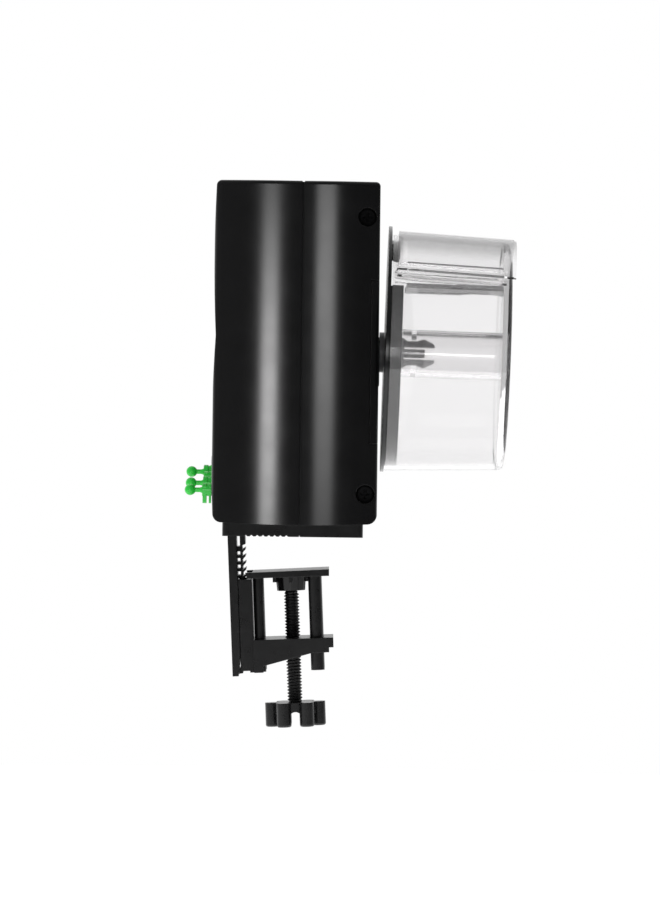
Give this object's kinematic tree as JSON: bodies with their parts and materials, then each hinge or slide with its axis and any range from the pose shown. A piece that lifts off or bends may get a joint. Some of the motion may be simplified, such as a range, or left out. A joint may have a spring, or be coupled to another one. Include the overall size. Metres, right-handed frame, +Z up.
{
  "type": "automatic fish feeder",
  "caption": "Battery fish feeder for a tank rim: upright casing with a timer dial and trip pins, a clear rotating food drum on the back, and a rack-and-screw clamp below.",
  "frame": {"origin": "on the underside of the upper jaw, in the middle of its width, where the tank rim rests", "axes": "+Z up, +X towards the food drum, -X towards the timer dial, -Y towards the battery cover"},
  "size_m": [0.1307, 0.095, 0.2161],
  "materials": {
    "case_black": "satin moulded black",
    "clamp_black": "matt moulded black",
    "lid_black": "semi-gloss moulded black",
    "clear_plastic": "clear polished",
    "smoke_plastic": "clear smoke tint, moulded",
    "screw_black": "blackened steel",
    "shaft_grey": "smooth grey",
    "pin_green": "bright green, glossy",
    "dial_plastic": "fine matt black with white numerals",
    "gear_nylon": "natural nylon",
    "movement_plastic": "matt dark grey",
    "board_green": "solder-resist green",
    "switch_plastic": "matt black",
    "steel": "zinc-plated steel",
    "motor_can": "drawn steel can",
    "brass": "turned brass",
    "contact_metal": "nickel-plated spring steel",
    "cell_sleeve": "plain printed sleeve, no lettering"
  },
  "bodies": {
    "feeder": {"front_shell": "case_black", "rear_shell": "case_black", "case_screws": "screw_black", "clock_movement": "movement_plastic", "trip_switch": "switch_plastic", "feed_switch": "switch_plastic", "circuit_board": "board_green", "board_screws": "steel", "drive_motor": "motor_can", "gearbox_rear_plate": "movement_plastic", "gearbox_front_plate": "movement_plastic", "gear_axles": "steel", "gearbox_screws": "steel", "mount_screws": "steel", "park_switch": "switch_plastic", "battery_tray": "movement_plastic", "battery_cells": "cell_sleeve", "battery_springs": "contact_metal", "battery_contacts": "contact_metal", "jaw_plate": "clamp_black", "foot_screws": "steel", "rack_arm": "clamp_black"},
    "battery_cover": {"battery_cover": "case_black"},
    "dial": {"dial": "dial_plastic", "dial_gear": "gear_nylon", "dial_screw": "steel"},
    "clock_pinion": {"clock_pinion": "gear_nylon"},
    "trip_pin_1": {"trip_pin_1": "pin_green"},
    "trip_pin_2": {"trip_pin_2": "pin_green"},
    "trip_pin_3": {"trip_pin_3": "pin_green"},
    "trip_key": {"trip_key": "case_black"},
    "feed_button": {"feed_button": "dial_plastic"},
    "drive_shaft": {"drive_shaft": "shaft_grey", "output_gear": "gear_nylon", "park_cam": "gear_nylon"},
    "gear_b": {"gear_b": "gear_nylon"},
    "gear_a": {"gear_a": "gear_nylon"},
    "motor_pinion": {"motor_pinion": "brass"},
    "drum_lid": {"drum_lid": "lid_black"},
    "drum_cup": {"drum_cup": "clear_plastic", "drum_shelf": "smoke_plastic"},
    "drum_gate": {"drum_gate": "clear_plastic"},
    "clamp_bracket": {"clamp_bracket": "clamp_black"},
    "clamp_plate": {"clamp_plate": "clamp_black"},
    "clamp_screw": {"clamp_screw": "clamp_black", "clamp_knob": "clamp_black"}
  },
  "joints": [
    {"name": "dial_turn", "type": "hinge", "parent": "feeder", "child": "dial", "pos_m": [-0.0329, 0, 0.0513], "axis": [1, 0, 0], "continuous": true},
    {"name": "clock_pinion_turn", "type": "hinge", "parent": "feeder", "child": "clock_pinion", "pos_m": [-0.026, 0, 0.0729], "axis": [1, 0, 0], "continuous": true},
    {"name": "trip_pin_1_pull", "type": "slide", "parent": "dial", "child": "trip_pin_1", "axis": [-1, 0, 0], "range_m": [0, 0.012]},
    {"name": "trip_pin_2_pull", "type": "slide", "parent": "dial", "child": "trip_pin_2", "axis": [-1, 0, 0], "range_m": [0, 0.012]},
    {"name": "trip_pin_3_pull", "type": "slide", "parent": "dial", "child": "trip_pin_3", "axis": [-1, 0, 0], "range_m": [0, 0.012]},
    {"name": "trip_key_press", "type": "slide", "parent": "feeder", "child": "trip_key", "axis": [1, 0, 0], "range_m": [0, 0.0015], "stiffness_N_per_m": 150},
    {"name": "feed_button_press", "type": "slide", "parent": "feeder", "child": "feed_button", "axis": [1, 0, 0], "range_m": [0, 0.0012], "stiffness_N_per_m": 300},
    {"name": "battery_cover_slide", "type": "slide", "parent": "feeder", "child": "battery_cover", "axis": [0, -1, 0], "range_m": [0, 0.036]},
    {"name": "drum_turn", "type": "hinge", "parent": "feeder", "child": "drive_shaft", "pos_m": [0.0336, 0, 0.0735], "axis": [0.9997, 0, -0.0236], "continuous": true},
    {"name": "gear_b_turn", "type": "hinge", "parent": "feeder", "child": "gear_b", "pos_m": [0.00605, 0.0108, 0.09286], "axis": [0.9997, 0, -0.0236], "continuous": true},
    {"name": "gear_a_turn", "type": "hinge", "parent": "feeder", "child": "gear_a", "pos_m": [0.00316, 0.02349, 0.09755], "axis": [0.9997, 0, -0.0236], "continuous": true},
    {"name": "motor_turn", "type": "hinge", "parent": "feeder", "child": "motor_pinion", "pos_m": [0.00147, 0.02114, 0.11089], "axis": [0.9997, 0, -0.0236], "continuous": true},
    {"name": "drum_pull", "type": "slide", "parent": "drive_shaft", "child": "drum_lid", "axis": [0.9997, 0, -0.0236], "range_m": [0, 0.024]},
    {"name": "cup_pull", "type": "slide", "parent": "drum_lid", "child": "drum_cup", "axis": [0.9997, 0, -0.0236], "range_m": [0, 0.02]},
    {"name": "gate_slide", "type": "slide", "parent": "drum_cup", "child": "drum_gate", "axis": [0.998, 0, -0.0638], "range_m": [0, 0.03]},
    {"name": "bracket_climb", "type": "slide", "parent": "feeder", "child": "clamp_bracket", "axis": [-0.0488, 0, 0.9988], "range_m": [0, 0.00795]},
    {"name": "plate_raise", "type": "slide", "parent": "clamp_bracket", "child": "clamp_plate", "axis": [-0.0488, 0, 0.9988], "range_m": [-0.018, 0.004]},
    {"name": "screw_turn", "type": "hinge", "parent": "clamp_plate", "child": "clamp_screw", "pos_m": [-0.00137, 0, -0.03956], "axis": [-0.0488, 0, 0.9988], "range_deg": [-5185, 1153]}
  ],
  "couplings": [
    {"joint": "clock_pinion_turn", "follows": "dial_turn", "ratio": -5},
    {"joint": "gear_b_turn", "follows": "drum_turn", "ratio": -5},
    {"joint": "gear_a_turn", "follows": "drum_turn", "ratio": 22},
    {"joint": "motor_turn", "follows": "drum_turn", "ratio": -96.8},
    {"joint": "screw_turn", "follows": "plate_raise", "rad_per_m": 5026.5}
  ]
}
